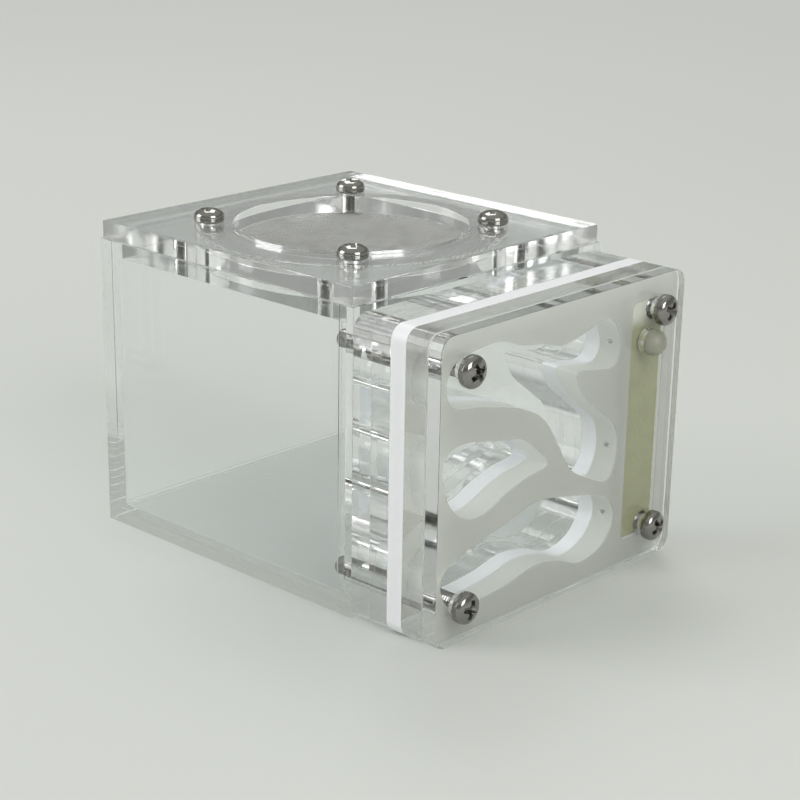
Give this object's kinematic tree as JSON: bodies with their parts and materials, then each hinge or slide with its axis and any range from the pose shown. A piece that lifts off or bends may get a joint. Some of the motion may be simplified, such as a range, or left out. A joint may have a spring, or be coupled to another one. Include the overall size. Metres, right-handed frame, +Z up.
{
  "type": "ant habitat",
  "caption": "Clear box for ants with a lift-off vented lid and a flat nest of stacked sheets, with winding chambers and a water slot, screwed to its front.",
  "frame": {"origin": "centre of the box's footprint, on the surface that the object stands on", "axes": "+Z up; the nest's window faces -Y; +X is to the right when looking at the nest's window"},
  "size_m": [0.06, 0.0805, 0.0563],
  "materials": {
    "clear_acrylic": "clear cast acrylic sheet, laser cut",
    "white_acrylic": "opaque milk-white acrylic sheet",
    "frosted_film": "frosted self-adhesive film",
    "steel_mesh": "fine woven stainless mesh",
    "stainless_screws": "bright stainless steel",
    "sponge": "damp cellulose sponge",
    "silicone": "translucent silicone"
  },
  "bodies": {
    "box": {"box_floor": "clear_acrylic", "box_front_wall": "clear_acrylic", "box_back_wall": "clear_acrylic", "box_left_wall": "clear_acrylic", "box_right_wall": "clear_acrylic", "nest_base_sheet": "clear_acrylic", "nest_rear_sheet": "clear_acrylic", "nest_white_sheet": "white_acrylic", "nest_chamber_sheet": "clear_acrylic", "nest_frosted_film": "frosted_film", "nest_window": "clear_acrylic", "moisture_sponge": "sponge", "nest_screws": "stainless_screws"},
    "lid": {"lid_top_plate": "clear_acrylic", "lid_locating_plate": "clear_acrylic", "vent_mesh": "steel_mesh", "lid_screws": "stainless_screws"},
    "plug": {"water_plug": "silicone"}
  },
  "joints": [
    {"name": "lid_lift", "type": "slide", "parent": "box", "child": "lid", "axis": [0, 0, 1], "range_m": [0, 0.03]},
    {"name": "plug_pull", "type": "slide", "parent": "box", "child": "plug", "axis": [0, -1, 0], "range_m": [0, 0.008]}
  ]
}
